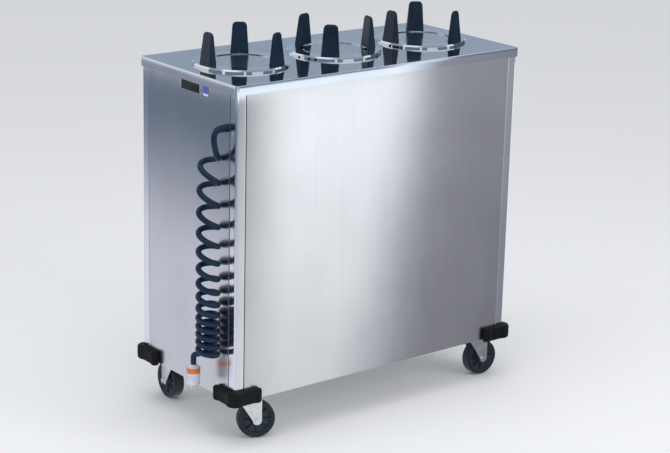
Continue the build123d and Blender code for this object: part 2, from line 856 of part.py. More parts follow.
with BuildPart() as plug_body:
    with BuildSketch(Plane((plug_top.X, plug_top.Y, 0), x_dir=(1, 0, 0), z_dir=(0, -1, 0))):
        with BuildLine():
            core = plug_radius - plug_band_depth
            band_top = plug_top.Z - plug_cap
            band_bottom = band_top - plug_band_height
            Polyline(
                (0, plug_top.Z),
                (plug_neck_radius, plug_top.Z),
                (plug_radius - plug_taper, band_top),
                (core, band_top),
                (core, band_bottom),
                (plug_radius, band_bottom),
                (plug_radius - plug_taper, plug_top.Z - plug_length),
                (0, plug_top.Z - plug_length),
                close=True,
            )
        make_face()
    revolve(axis=Axis((plug_top.X, plug_top.Y, 0), (0, 0, 1)))
save(plug_body, "plug_body")

with BuildPart() as plug_band:
    with BuildSketch(Plane((plug_top.X, plug_top.Y, band_bottom))):
        Circle(plug_radius)
        Circle(plug_radius - plug_band_depth, mode=Mode.SUBTRACT)
    extrude(amount=plug_band_height)
save(plug_band, "plug_band")

with BuildPart() as plug_prongs:
    with BuildSketch(Plane((plug_top.X, plug_top.Y, plug_top.Z - plug_length), z_dir=(0, 0, -1))):
        with Locations((-prong_spacing / 2, 0), (prong_spacing / 2, 0)):
            Rectangle(prong_thickness, prong_width)
        with Locations((0, earth_pin_offset)):
            Circle(earth_pin_radius)
    extrude(amount=prong_length)
save(plug_prongs, "plug_prongs")

# ---------------------------------------------------------------- what the cord measures

cord_wire = cord_path.wires()[0]
cord_length = cord_wire.length
samples = [cord_wire.position_at(i / sample_count) for i in range(sample_count + 1)]
far_enough = int(sample_skip * cord_diameter * sample_count / cord_length)
own_gap = min(
    (samples[j] - samples[i]).length
    for i in range(0, sample_count, sample_stride)
    for j in range(i + far_enough, sample_count + 1)
) - cord_diameter
print("platform travel", round(platform_travel, 1))
print("cord length", round(cord_length, 1))
print("lead and tail radii", [round(arc_radius(*arc), 1) for arc in cord_arcs[:3] + cord_arcs[-2:]])
print("tightest coil radius", round(min(arc_radius(*arc) for arc in cord_arcs[3:-2]), 1))
print("least gap of the cord to itself", round(own_gap, 2))
section = cord_sides / 2 * math.sin(2 * math.pi / cord_sides) * (cord_diameter / 2) ** 2
print("cord volume", round(power_cord.part.volume), "section times length", round(section * cord_length))
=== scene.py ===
import math

import bmesh
import bpy
from mathutils import Matrix, Quaternion, Vector


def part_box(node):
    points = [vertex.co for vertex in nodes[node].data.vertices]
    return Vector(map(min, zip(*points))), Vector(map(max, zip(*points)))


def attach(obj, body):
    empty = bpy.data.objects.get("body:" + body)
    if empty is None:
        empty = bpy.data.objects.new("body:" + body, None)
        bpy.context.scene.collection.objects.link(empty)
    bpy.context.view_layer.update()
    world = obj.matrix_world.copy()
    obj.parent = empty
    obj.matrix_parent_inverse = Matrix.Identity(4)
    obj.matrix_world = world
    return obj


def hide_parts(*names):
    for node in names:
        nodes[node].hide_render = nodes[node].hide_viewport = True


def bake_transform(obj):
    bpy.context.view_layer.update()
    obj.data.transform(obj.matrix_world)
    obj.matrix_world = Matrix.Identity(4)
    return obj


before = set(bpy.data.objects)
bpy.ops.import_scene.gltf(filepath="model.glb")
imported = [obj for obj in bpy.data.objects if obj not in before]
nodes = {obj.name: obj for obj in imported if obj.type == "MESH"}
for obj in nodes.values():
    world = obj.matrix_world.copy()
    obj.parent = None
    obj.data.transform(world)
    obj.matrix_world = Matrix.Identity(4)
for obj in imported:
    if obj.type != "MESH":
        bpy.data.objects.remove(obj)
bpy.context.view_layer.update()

# Each corner of the cabinet, with the sides of X and Y that it is on.
CORNERS = {
    "front_left": (-1, -1),
    "front_right": (1, -1),
    "back_left": (-1, 1),
    "back_right": (1, 1),
}
SILOS = (1, 2, 3)

# The cabinet's body below its deck, in metres: half of its length and of its width.
HALF_LENGTH = 0.467
HALF_WIDTH = 0.217

# The camera fitted to the photograph's corners and uprights; lengths in metres, lens in mm.
CAMERA_PLACE = Vector((-3.0422, -3.8926, 1.9642))
CAMERA_TARGET = Vector((0.0187, 0.0, 0.4713))
CAMERA_ROLL = math.radians(1.392)
CAMERA_LENS = 100.58
FAR_CLIP = 100


def place_camera():
    data = bpy.data.cameras.new("camera")
    data.lens = CAMERA_LENS
    data.clip_end = FAR_CLIP
    camera = bpy.data.objects.new("camera", data)
    bpy.context.scene.collection.objects.link(camera)
    aim = (CAMERA_TARGET - CAMERA_PLACE).to_track_quat("-Z", "Y")
    camera.location = CAMERA_PLACE
    camera.rotation_mode = "QUATERNION"
    camera.rotation_quaternion = aim @ Quaternion((0, 0, 1), CAMERA_ROLL)
    bpy.context.scene.camera = camera


# ---------------------------------------------------------------- shader node helpers

# The Mix node's colour sockets, which share their names with its number sockets.
MIX_COLOUR_A = 6
MIX_COLOUR_B = 7
MIX_COLOUR_RESULT = 2


def new_group(name, inputs, outputs):
    """An empty node group with these sockets: name -> (type, default)."""
    group = bpy.data.node_groups.new(name, "ShaderNodeTree")
    for socket, (kind, default) in inputs.items():
        made = group.interface.new_socket(socket, in_out="INPUT", socket_type=kind)
        if default is not None:
            made.default_value = default
    for socket, kind in outputs.items():
        group.interface.new_socket(socket, in_out="OUTPUT", socket_type=kind)
    return group, group.nodes.new("NodeGroupInput"), group.nodes.new("NodeGroupOutput")


def put(tree, kind, **values):
    """A node with its properties and the defaults of its sockets set by name."""
    node = tree.nodes.new(kind)
    for key, value in values.items():
        socket = node.inputs.get(key.replace("_", " "))
        if socket is not None:
            socket.default_value = value
        else:
            setattr(node, key, value)
    return node


def set_or_link(tree, socket, value):
    """Feed a socket from another socket, or give it a plain value."""
    if isinstance(value, bpy.types.NodeSocket):
        tree.links.new(value, socket)
    else:
        socket.default_value = value


def work_out(tree, operation, *values):
    """A Math node over numbers or sockets, and what it puts out."""
    node = tree.nodes.new("ShaderNodeMath")
    node.operation = operation
    for socket, value in zip(node.inputs, values):
        set_or_link(tree, socket, value)
    return node.outputs[0]


def ease(tree, value, start, end, low=0.0, high=1.0):
    """A smooth step from low to high as value goes from start to end."""
    node = tree.nodes.new("ShaderNodeMapRange")
    node.interpolation_type = "SMOOTHSTEP"
    for name, given in (
        ("Value", value),
        ("From Min", start),
        ("From Max", end),
        ("To Min", low),
        ("To Max", high),
    ):
        set_or_link(tree, node.inputs[name], given)
    return node.outputs["Result"]


def build_grain_group():
    """Fine parallel scratches: a mask and a bump height, stretched by the Scale vector."""
    group, inward, outward = new_group(
        "drawn_grain",
        {"Scale": ("NodeSocketVector", (900, 900, 9)), "Softness": ("NodeSocketFloat", 0.5)},
        {"Mask": "NodeSocketFloat", "Height": "NodeSocketFloat"},
    )
    link = group.links.new
    place = put(group, "ShaderNodeTexCoord")
    stretch = put(group, "ShaderNodeVectorMath", operation="MULTIPLY")
    link(place.outputs["Object"], stretch.inputs[0])
    link(inward.outputs["Scale"], stretch.inputs[1])
    fine = put(group, "ShaderNodeTexNoise", Scale=1.0, Detail=3.0, Roughness=0.6)
    coarse = put(group, "ShaderNodeTexNoise", Scale=0.21, Detail=2.0, Roughness=0.5)
    link(stretch.outputs[0], fine.inputs["Vector"])
    link(stretch.outputs[0], coarse.inputs["Vector"])
    mix = put(group, "ShaderNodeMix", data_type="FLOAT")
    link(inward.outputs["Softness"], mix.inputs["Factor"])
    link(fine.outputs["Fac"], mix.inputs["A"])
    link(coarse.outputs["Fac"], mix.inputs["B"])
    spread = put(group, "ShaderNodeMapRange")
    spread.inputs["From Min"].default_value = 0.3
    spread.inputs["From Max"].default_value = 0.7
    link(mix.outputs["Result"], spread.inputs["Value"])
    link(spread.outputs["Result"], outward.inputs["Mask"])
    link(mix.outputs["Result"], outward.inputs["Height"])
    return group


def build_cloud_group():
    """Soft uneven patches, such as handling marks and waves in thin sheet."""
    group, inward, outward = new_group(
        "soft_patches",
        {
            "Scale": ("NodeSocketFloat", 6.0),
            "Low": ("NodeSocketFloat", 0.35),
            "High": ("NodeSocketFloat", 0.65),
        },
        {"Mask": "NodeSocketFloat"},
    )
    link = group.links.new
    place = put(group, "ShaderNodeTexCoord")
    noise = put(group, "ShaderNodeTexNoise", Detail=4.0, Roughness=0.55, Distortion=0.3)
    link(place.outputs["Object"], noise.inputs["Vector"])
    link(inward.outputs["Scale"], noise.inputs["Scale"])
    spread = put(group, "ShaderNodeMapRange")
    link(noise.outputs["Fac"], spread.inputs["Value"])
    link(inward.outputs["Low"], spread.inputs["From Min"])
    link(inward.outputs["High"], spread.inputs["From Max"])
    link(spread.outputs["Result"], outward.inputs["Mask"])
    return group


GRAIN = build_grain_group()
PATCHES = build_cloud_group()


def use_group(tree, group, **values):
    """One of the shared groups, placed in a material with its own values."""
    node = tree.nodes.new("ShaderNodeGroup")
    node.node_tree = group
    for key, value in values.items():
        node.inputs[key].default_value = value
    return node


def mix_colours(tree, mask, low, high):
    """A colour that goes from low to high with the mask; each is a colour or a socket."""
    node = put(tree, "ShaderNodeMix", data_type="RGBA")
    tree.links.new(mask, node.inputs["Factor"])
    for socket, value in ((node.inputs[MIX_COLOUR_A], low), (node.inputs[MIX_COLOUR_B], high)):
        set_or_link(tree, socket, (*value, 1) if isinstance(value, tuple) else value)
    return node.outputs[MIX_COLOUR_RESULT]


def scale_mask(tree, mask, low, high):
    """The mask, stretched from 0..1 to low..high."""
    node = tree.nodes.new("ShaderNodeMapRange")
    tree.links.new(mask, node.inputs["Value"])
    node.inputs["To Min"].default_value = low
    node.inputs["To Max"].default_value = high
    return node.outputs["Result"]


def new_material(name, metallic=0.0, gloss=0.5):
    material = bpy.data.materials.new(name)
    material.use_nodes = True
    shader = material.node_tree.nodes["Principled BSDF"]
    shader.inputs["Metallic"].default_value = metallic
    shader.inputs["Specular IOR Level"].default_value = gloss
    return material, material.node_tree, shader


def add_bump(tree, shader, height, strength, distance):
    bump = tree.nodes.new("ShaderNodeBump")
    bump.inputs["Strength"].default_value = strength
    bump.inputs["Distance"].default_value = distance
    tree.links.new(height, bump.inputs["Height"])
    tree.links.new(bump.outputs["Normal"], shader.inputs["Normal"])


# ---------------------------------------------------------------- materials


# How much of a metal's mask comes from its grain, and how much from its patches.
GRAIN_SHARE = 0.35
PATCH_SHARE = 0.65
GRAIN_DEPTH = 0.0003
SKIN_DEPTH = 0.0004
SKIN_PATCHES = 22.0

# Sheet metals: name, its two colours, its two roughnesses, grain scale, bump, patch scale.
EVEN_GRAIN = (60, 60, 60)
UPRIGHT_GRAIN = (650, 650, 6)
METALS = {
    "panel": (
        "brushed_panel", (0.61, 0.62, 0.65), (0.68, 0.69, 0.72), (0.20, 0.26),
        UPRIGHT_GRAIN, 0.10, 5.0,
    ),
    "post": (
        "folded_post", (0.78, 0.81, 0.87), (0.86, 0.89, 0.94), (0.13, 0.18),
        UPRIGHT_GRAIN, 0.06, 5.0,
    ),
    "deck": (
        "polished_deck", (0.56, 0.61, 0.68), (0.64, 0.68, 0.75), (0.05, 0.09),
        (6, 420, 420), 0.03, 5.0,
    ),
    "ring": (
        "polished_ring", (0.66, 0.70, 0.76), (0.76, 0.80, 0.85), (0.05, 0.09),
        (40, 40, 40), 0.03, 5.0,
    ),
    "platform": (
        "spun_platform", (0.58, 0.61, 0.66), (0.66, 0.69, 0.74), (0.14, 0.20),
        EVEN_GRAIN, 0.05, 5.0,
    ),
    "plated": (
        "zinc_plate", (0.66, 0.72, 0.75), (0.82, 0.87, 0.90), (0.14, 0.26),
        EVEN_GRAIN, 0.05, 40.0,
    ),
    "galvanised": (
        "galvanised_sheet", (0.42, 0.44, 0.46), (0.56, 0.57, 0.59), (0.38, 0.52),
        (90, 90, 90), 0.1, 30.0,
    ),
    "spring": (
        "spring_wire", (0.34, 0.35, 0.37), (0.50, 0.51, 0.53), (0.24, 0.36),
        (90, 90, 90), 0.1, 60.0,
    ),
    "heater": (
        "heater_sheath", (0.20, 0.18, 0.17), (0.34, 0.30, 0.27), (0.35, 0.5),
        EVEN_GRAIN, 0.1, 30.0,
    ),
    "brass": (
        "brass_prong", (0.72, 0.60, 0.16), (0.88, 0.76, 0.28), (0.2, 0.3),
        (300, 300, 300), 0.1, 60.0,
    ),
    "plate_edge": (
        "nameplate_end", (0.66, 0.68, 0.70), (0.76, 0.78, 0.80), (0.2, 0.3),
        (400, 400, 40), 0.05, 60.0,
    ),
}

# Plastics and rubbers: name, its two colours, its two roughnesses, bump, skin scale, gloss.
MOULDINGS = {
    "guide": (
        "guide_plastic", (0.002, 0.011, 0.027), (0.004, 0.019, 0.042), (0.34, 0.46),
        0.1, 900.0, 0.24,
    ),
    "bakelite": (
        "thermostat_plastic", (0.015, 0.015, 0.016), (0.03, 0.03, 0.032), (0.35, 0.5),
        0.15, 700.0, 0.35,
    ),
    "bumper": (
        "bumper_rubber", (0.0012, 0.0020, 0.0036), (0.0028, 0.0042, 0.0068), (0.58, 0.72),
        0.2, 600.0, 0.2,
    ),
    # Painted shade, not a moulding: the dark strip that stands for the shaded gaps between the
    # panels and the posts.
    "gap_shade": (
        "painted_gap_shade", (0.045, 0.058, 0.080), (0.065, 0.080, 0.105), (0.55, 0.7),
        0.05, 700.0, 0.2,
    ),
    "tread": (
        "wheel_rubber", (0.005, 0.008, 0.013), (0.012, 0.018, 0.026), (0.42, 0.62),
        0.3, 500.0, 0.35,
    ),
    "core": (
        "wheel_core", (0.012, 0.022, 0.034), (0.022, 0.036, 0.052), (0.34, 0.46),
        0.1, 500.0, 0.35,
    ),
    "jacket": (
        "cord_jacket", (0.002, 0.015, 0.042), (0.004, 0.024, 0.060), (0.34, 0.46),
        0.08, 800.0, 0.26,
    ),
    "relief": (
        "relief_rubber", (0.002, 0.014, 0.036), (0.004, 0.022, 0.052), (0.40, 0.52),
        0.15, 700.0, 0.24,
    ),
    "plug": (
        "plug_plastic", (0.56, 0.60, 0.68), (0.66, 0.70, 0.76), (0.25, 0.35),
        0.05, 600.0, 0.35,
    ),
    "band": (
        "plug_collar", (0.68, 0.13, 0.03), (0.78, 0.20, 0.05), (0.3, 0.4),
        0.05, 600.0, 0.35,
    ),
    "plate_black": (
        "nameplate_black", (0.008, 0.009, 0.011), (0.02, 0.022, 0.026), (0.22, 0.34),
        0.04, 500.0, 0.35,
    ),
    "label_blue": (
        "label_blue", (0.055, 0.10, 0.42), (0.075, 0.13, 0.50), (0.3, 0.4),
        0.03, 500.0, 0.35,
    ),
    "label_pale": (
        "label_pale", (0.62, 0.64, 0.74), (0.70, 0.72, 0.80), (0.3, 0.4),
        0.03, 500.0, 0.35,
    ),
}


def sheet_metal(name, low, high, rough, grain_scale, grain_bump, patch_scale):
    """Stainless or plated sheet: drawn grain, faint patches in its colour and its gloss."""
    material, tree, shader = new_material(name, metallic=1.0)
    link = tree.links.new
    grain = use_group(tree, GRAIN, Scale=grain_scale)
    patches = use_group(tree, PATCHES, Scale=patch_scale)
    soft = scale_mask(tree, patches.outputs["Mask"], 0.0, PATCH_SHARE)
    both = work_out(tree, "MULTIPLY_ADD", grain.outputs["Mask"], GRAIN_SHARE, soft)
    link(mix_colours(tree, both, low, high), shader.inputs["Base Color"])
    link(scale_mask(tree, both, *rough), shader.inputs["Roughness"])
    add_bump(tree, shader, grain.outputs["Height"], grain_bump, GRAIN_DEPTH)
    return material


def moulded(name, low, high, rough, bump, skin_scale, gloss):
    """Moulded plastic or rubber: a fine skin texture and uneven gloss."""
    material, tree, shader = new_material(name, gloss=gloss)
    link = tree.links.new
    patches = use_group(tree, PATCHES, Scale=SKIN_PATCHES)
    link(mix_colours(tree, patches.outputs["Mask"], low, high), shader.inputs["Base Color"])
    link(scale_mask(tree, patches.outputs["Mask"], *rough), shader.inputs["Roughness"])
    spot = tree.nodes.new("ShaderNodeTexCoord")
    skin = put(tree, "ShaderNodeTexNoise", Scale=skin_scale, Detail=2.0)
    link(spot.outputs["Object"], skin.inputs["Vector"])
    add_bump(tree, shader, skin.outputs["Fac"], bump, SKIN_DEPTH)
    return material


def make_materials():
    materials = {key: sheet_metal(*values) for key, values in METALS.items()}
    materials.update({key: moulded(*values) for key, values in MOULDINGS.items()})
    return materials


# The CAD nodes that keep their own meshes; {corner} and {silo} stand for each in turn.
FINISHES = {
    "panel": ("front_panel", "back_panel", "cord_end_panel", "plain_end_panel"),
    "deck": ("deck",),
    "galvanised": (
        "base_pan", "caster_channel_cord_end", "caster_channel_plain_end", "heater_brackets",
        "heater_terminal_box", "junction_box", "wiring_conduit", "silo_{silo}_tube",
    ),
    "heater": ("heater_element",),
    "bakelite": ("thermostat",),
    "plated": (
        "caster_bolts", "caster_plate_{corner}", "caster_fork_{corner}", "caster_axle_{corner}",
    ),
    "post": ("corner_post_{corner}",),
    "ring": ("silo_{silo}_ring",),
    "platform": ("silo_{silo}_platform",),
    "guide": ("silo_{silo}_guide_posts",),
    "relief": ("strain_relief",),
    "band": ("plug_band",),
    "brass": ("plug_prongs",),
}


def each_name(pattern):
    """The names that a pattern stands for."""
    if "{corner}" in pattern:
        return [pattern.format(corner=corner) for corner in CORNERS]
    return sorted({pattern.format(silo=silo) for silo in SILOS})


def dress_cad_nodes(materials):
    for finish, patterns in FINISHES.items():
        for pattern in patterns:
            for name in each_name(pattern):
                mesh = nodes[name].data
                mesh.materials.clear()
                mesh.materials.append(materials[finish])


# ---------------------------------------------------------------- mesh helpers

# Points closer than this are one pole, and edges that rise less than this are level.
POLE_MERGE = 1e-6
LEVEL = 1e-6
CORNER_SEGMENTS = 4
RIM_SEGMENTS = 2


def link_object(name, data):
    piece = bpy.data.objects.new(name, data)
    bpy.context.scene.collection.objects.link(piece)
    return piece


def new_object(name, bm, material, body, smooth=True):
    """A finished piece from a bmesh that already stands in its place; no body when none is given.
    """
    mesh = bpy.data.meshes.new(name)
    bm.to_mesh(mesh)
    bm.free()
    for polygon in mesh.polygons:
        polygon.use_smooth = smooth
    mesh.materials.append(material)
    piece = link_object(name, mesh)
    if body:
        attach(piece, body)
    return piece


def everything(bm):
    return bm.verts[:] + bm.edges[:] + bm.faces[:]


def frame_at(place, axis):
    """A matrix that takes local Z to this axis and the origin to this place."""
    return Matrix.Translation(place) @ Vector(axis).to_track_quat("Z", "Y").to_matrix().to_4x4()


def turned(profile, steps=48, ring=False, bm=None):
    """Spin a profile of (radius, height) points round Z; a ring's profile closes on itself."""
    fresh = bmesh.new()
    points = [fresh.verts.new((radius, 0, height)) for radius, height in profile]
    pairs = list(zip(points, points[1:])) + ([(points[-1], points[0])] if ring else [])
    lines = [fresh.edges.new(pair) for pair in pairs]
    bmesh.ops.spin(
        fresh,
        geom=points + lines,
        cent=(0, 0, 0),
        axis=(0, 0, 1),
        dvec=(0, 0, 0),
        angle=math.tau,
        steps=steps,
        use_merge=True,
        use_duplicate=False,
    )
    bmesh.ops.remove_doubles(fresh, verts=fresh.verts, dist=POLE_MERGE)
    bmesh.ops.recalc_face_normals(fresh, faces=fresh.faces)
    return join(bm, fresh)


def join(bm, fresh):
    """Add one bmesh to another, or start with it."""
    if bm is None:
        return fresh
    mesh = bpy.data.meshes.new("joined")
    fresh.to_mesh(mesh)
    fresh.free()
    bm.from_mesh(mesh)
    bpy.data.meshes.remove(mesh)
    return bm


def rise_of(edge):
    return abs(edge.verts[0].co.z - edge.verts[1].co.z)


def bevel_edges(bm, edges, offset, segments):
    bmesh.ops.bevel(
        bm, geom=edges, offset=offset, affect="EDGES", segments=segments, profile=0.5, material=-1
    )


def block(centre, size, corner=0.0, rim=0.0, bm=None):
    """A plate with its upright corners rounded by one bevel and its rims eased by another."""
    fresh = bmesh.new()
    bmesh.ops.create_cube(fresh, size=1.0)
    bmesh.ops.scale(fresh, vec=size, verts=fresh.verts)
    if corner:
        uprights = [edge for edge in fresh.edges if rise_of(edge) > size[2] / 2]
        bevel_edges(fresh, uprights, corner, CORNER_SEGMENTS)
    if rim:
        rims = [edge for edge in fresh.edges if rise_of(edge) < LEVEL]
        bevel_edges(fresh, rims, rim, RIM_SEGMENTS)
    bmesh.ops.translate(fresh, vec=centre, verts=fresh.verts)
    return join(bm, fresh)


def place(bm, matrix):
    bmesh.ops.transform(bm, matrix=matrix, verts=bm.verts)
    return bm


# ---------------------------------------------------------------- curly mains lead

# The lead's route, in metres: the CAD's values, but for the askew hang of the turns.
CORD_DIAMETER = 0.015
GLAND_FACE = Vector((-0.471, -0.175, 0.852))
LEAD_POINTS = (
    (-0.4840, -0.1750, 0.8520),
    (-0.4960, -0.1745, 0.8505),
    (-0.5050, -0.1735, 0.8400),
    (-0.5050, -0.1725, 0.8180),
    (-0.4960, -0.1715, 0.7860),
)
COIL_CENTRE = Vector((-0.503, -0.147, 0.777))
COIL_RADIUS = 0.025
COIL_TURNS = 14.25
COIL_START_ANGLE = math.radians(-20)
# The pitch of the turns at the top and at the bottom, and what it loses with each turn.
OPEN_PITCH = 0.067
CLOSED_PITCH = 0.021
PITCH_DROP = 0.0046
# The first turns are this share narrower and lean out this far; it fades over these turns.
COIL_NECK = 0.1
COIL_LEAN = 0.004
NECK_TURNS = 1.3
# Each turn hangs askew by this share of its pitch, and stands highest at this angle.
TURN_TILT = 0.11
TILT_UP_ANGLE = math.radians(142)
CURL_POINTS = 16
CURVE_ORDER = 3
CURVE_STEPS = 4
ROUND_STEPS = 5
TAIL_POINTS = (
    (-0.5053, -0.1196, 0.2462),
    (-0.5156, -0.0998, 0.2394),
    (-0.5156, -0.0998, 0.2278),
    (-0.5156, -0.0998, 0.2128),
)


def coil_drop(turns):
    """How far the coil has come down: each turn carries the weight below it."""
    stretched = min(turns, (OPEN_PITCH - CLOSED_PITCH) / PITCH_DROP)
    opened = OPEN_PITCH * stretched - PITCH_DROP * stretched**2 / 2
    return opened + CLOSED_PITCH * (turns - stretched)


def pitch_at(turns):
    """The drop of one turn at this place: open at the top, closed at the bottom."""
    return max(OPEN_PITCH - PITCH_DROP * turns, CLOSED_PITCH)


def coil_point(turns):
    """A control point just outside the coil, after this many turns, each a little askew."""
    settling = math.exp(-turns / NECK_TURNS)
    stand_off = 1 / math.cos(math.pi / CURL_POINTS)
    radius = COIL_RADIUS * (1 - COIL_NECK * settling) * stand_off
    angle = COIL_START_ANGLE + math.tau * turns
    lean = COIL_LEAN * settling
    askew = TURN_TILT * pitch_at(turns) * math.cos(angle - TILT_UP_ANGLE)
    return COIL_CENTRE + Vector(
        (lean + math.cos(angle) * radius, math.sin(angle) * radius, askew - coil_drop(turns))
    )


def cord_route():
    """The control points of the lead, from its gland to its plug."""
    route = [GLAND_FACE] + [Vector(point) for point in LEAD_POINTS]
    steps = int(COIL_TURNS * CURL_POINTS)
    route += [coil_point(i / CURL_POINTS) for i in range(steps + 1)]
    return route + [Vector(point) for point in TAIL_POINTS]


def lead_curve(name, points, material):
    """A round lead on one smooth curve that these control points pull along."""
    data = bpy.data.curves.new(name, "CURVE")
    data.dimensions = "3D"
    spline = data.splines.new("NURBS")
    spline.points.add(len(points) - 1)
    for point, place in zip(spline.points, points):
        point.co = (*place, 1)
    spline.order_u = CURVE_ORDER
    spline.use_endpoint_u = True
    spline.resolution_u = CURVE_STEPS
    data.bevel_depth = CORD_DIAMETER / 2
    data.bevel_resolution = ROUND_STEPS
    data.use_fill_caps = True
    data.materials.append(material)
    lead = link_object(name, data)
    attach(lead, "cabinet")
    return lead


def read_route(curve):
    """The points that the lead's own smooth spline passes through."""
    data = curve.data.copy()
    data.bevel_depth = 0
    bare = bpy.data.objects.new("bare_route", data)
    mesh = bpy.data.meshes.new_from_object(bare)
    points = [vertex.co.copy() for vertex in mesh.vertices]
    bpy.data.objects.remove(bare)
    bpy.data.meshes.remove(mesh)
    return points


def along(points, distance):
    """The place and direction at this distance along the points."""
    for first, second in zip(points, points[1:]):
        run = (second - first).length
        if distance <= run:
            return first.lerp(second, distance / run), (second - first).normalized()
        distance -= run
    return points[-1], (points[-1] - points[-2]).normalized()


RELIEF_LENGTH = 0.030
RELIEF_START_RADIUS = 0.0096
RELIEF_END_RADIUS = 0.0082
RELIEF_RIBS = 7
RELIEF_STEPS = 28
RELIEF_GROOVE = 0.0006
# One rib and its groove: share of the rib's pitch, and whether the surface is sunk there.
RIB_SHAPE = ((0.04, 0), (0.14, 0), (0.50, 0), (0.60, 0), (0.68, 1), (0.92, 1))


def make_bend_relief(materials, route):
    """The ribbed rubber taper that holds the lead where it leaves its gland."""
    profile = [(0.0, 0.0)]
    pitch = RELIEF_LENGTH / RELIEF_RIBS
    for rib in range(RELIEF_RIBS):
        for share, sunk in RIB_SHAPE:
            height = (rib + share) * pitch
            taper = height / RELIEF_LENGTH
            radius = RELIEF_START_RADIUS + (RELIEF_END_RADIUS - RELIEF_START_RADIUS) * taper
            profile.append((radius - sunk * RELIEF_GROOVE, height))
    profile.append((0.0, RELIEF_LENGTH))
    bm = turned(profile, RELIEF_STEPS)
    sideways = Vector((0, 1, 0))
    for vertex in bm.verts:
        spot, forward = along(route, vertex.co.z)
        upward = forward.cross(sideways)
        vertex.co = spot + sideways * vertex.co.x + upward * vertex.co.y
    bmesh.ops.recalc_face_normals(bm, faces=bm.faces)
    return new_object("bend_relief", bm, materials["relief"], "cabinet")


PLUG_STEPS = 40
# The plug's outline as (radius, height), from its neck down to its face.
PLUG_PROFILE = (
    (0.0, 0.0), (0.0088, 0.0), (0.0100, -0.0006), (0.0106, -0.0016), (0.0106, -0.0024),
    (0.0098, -0.0029), (0.0098, -0.0035), (0.0118, -0.0040), (0.0122, -0.0050), (0.0114, -0.0055),
    (0.0114, -0.0060), (0.0150, -0.0066), (0.0164, -0.0073), (0.0169, -0.0080), (0.0159, -0.0082),
    (0.0159, -0.0218), (0.0176, -0.0220), (0.0179, -0.0228), (0.0178, -0.0300), (0.0172, -0.0345),
    (0.0168, -0.0400), (0.0170, -0.0455), (0.0173, -0.0500), (0.0172, -0.0528), (0.0164, -0.0538),
    (0.0150, -0.0540), (0.0, -0.0540),
)
GRIP_TOP = -0.0290
GRIP_BOTTOM = -0.0470
GRIP_DEPTH = 0.0007
GRIP_INSET = 0.0003
GRIP_INNER_RADIUS = 0.012


def make_plug(materials, top):
    """The moulded plug: a ribbed neck, the collar's seat, a waisted body and fluted grips."""
    bm = turned(PLUG_PROFILE, PLUG_STEPS)
    for height in (GRIP_TOP, GRIP_BOTTOM):
        bmesh.ops.bisect_plane(
            bm, geom=everything(bm), plane_co=(0, 0, height), plane_no=(0, 0, 1)
        )
    sector = math.tau / PLUG_STEPS
    flutes = []
    for face in bm.faces:
        centre = face.calc_center_median()
        if GRIP_BOTTOM < centre.z < GRIP_TOP and centre.to_2d().length > GRIP_INNER_RADIUS:
            if int(math.atan2(centre.y, centre.x) % math.tau / sector) % 2:
                flutes.append(face)
    bmesh.ops.inset_region(bm, faces=flutes, thickness=GRIP_INSET, depth=-GRIP_DEPTH)
    place(bm, Matrix.Translation(top))
    plug = new_object("moulded_plug", bm, materials["plug"], "cabinet")
    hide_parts("plug_body")
    return plug


def make_cord(materials):
    cord = lead_curve("curly_cord", cord_route(), materials["jacket"])
    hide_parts("power_cord")
    relief = make_bend_relief(materials, read_route(cord))
    plug = make_plug(materials, TAIL_POINTS[-1])


# ---------------------------------------------------------------- plates and screws on the cord end

WALL_X = -HALF_LENGTH
NAMEPLATE_Y = (-0.060, 0.035)
NAMEPLATE_Z = (0.915, 0.938)
NAMEPLATE_THICK = 0.0012
NAMEPLATE_END = 0.006
NAMEPLATE_END_THICK = 1.4 * NAMEPLATE_THICK
NAMEPLATE_END_CORNER = 0.001
NAMEPLATE_RIM = 0.0003
LABEL_Y = (-0.092, -0.069)
LABEL_Z = (0.915, 0.939)
LABEL_THICK = 0.0006
LABEL_RIM = 0.0001
LABEL_EDGE = 0.005
SCREW_Y = -0.197
SCREW_HEIGHTS = (0.840, 0.750)
SCREW_DOME = (
    (0.0, 0.0), (0.0035, 0.0), (0.0035, 0.0005), (0.0031, 0.0010), (0.0022, 0.0014), (0.0, 0.0015),
)
SCREW_STEPS = 32
DOME_FOOT = 0.0004
RECESS_HALF = 0.00045
RECESS_REACH = 0.0019
RECESS_DEPTH = 0.0009


def wall_block(span_y, span_z, thick, corner, rim):
    """A thin plate that stands on the cord end's wall over these spans of Y and Z."""
    size = (span_y[1] - span_y[0], span_z[1] - span_z[0], thick)
    bm = block((0, 0, thick / 2), size, corner, rim)
    middle = Vector((WALL_X, sum(span_y) / 2, sum(span_z) / 2))
    turn = Matrix(((0, 0, -1), (-1, 0, 0), (0, 1, 0))).to_4x4()
    return place(bm, Matrix.Translation(middle) @ turn)


def make_wall_plates(materials):
    """The bare nameplate between its pale end strips, and the small bare label beside it."""
    low, high = NAMEPLATE_Y
    border = LABEL_Z[0] + LABEL_EDGE
    plate = (NAMEPLATE_THICK, 0, NAMEPLATE_RIM)
    strip = (NAMEPLATE_END_THICK, NAMEPLATE_END_CORNER, NAMEPLATE_RIM)
    label = (LABEL_THICK, 0, LABEL_RIM)
    for name, span_y, span_z, form, finish, slot in (
        ("nameplate", (low + NAMEPLATE_END, high - NAMEPLATE_END), NAMEPLATE_Z, plate,
         "plate_black", "moulded_black_plastic"),
        ("nameplate_near_end", (low, low + NAMEPLATE_END), NAMEPLATE_Z, strip,
         "plate_edge", "polished_stainless"),
        ("nameplate_far_end", (high - NAMEPLATE_END, high), NAMEPLATE_Z, strip,
         "plate_edge", "polished_stainless"),
        ("label", LABEL_Y, (border, LABEL_Z[1]), label, "label_blue", "plug_plastic"),
        ("label_edge", LABEL_Y, (LABEL_Z[0], border), label, "label_pale", "plug_plastic"),
    ):
        bm = wall_block(span_y, span_z, *form)
        new_object(name, bm, materials[finish], "cabinet", smooth=False)


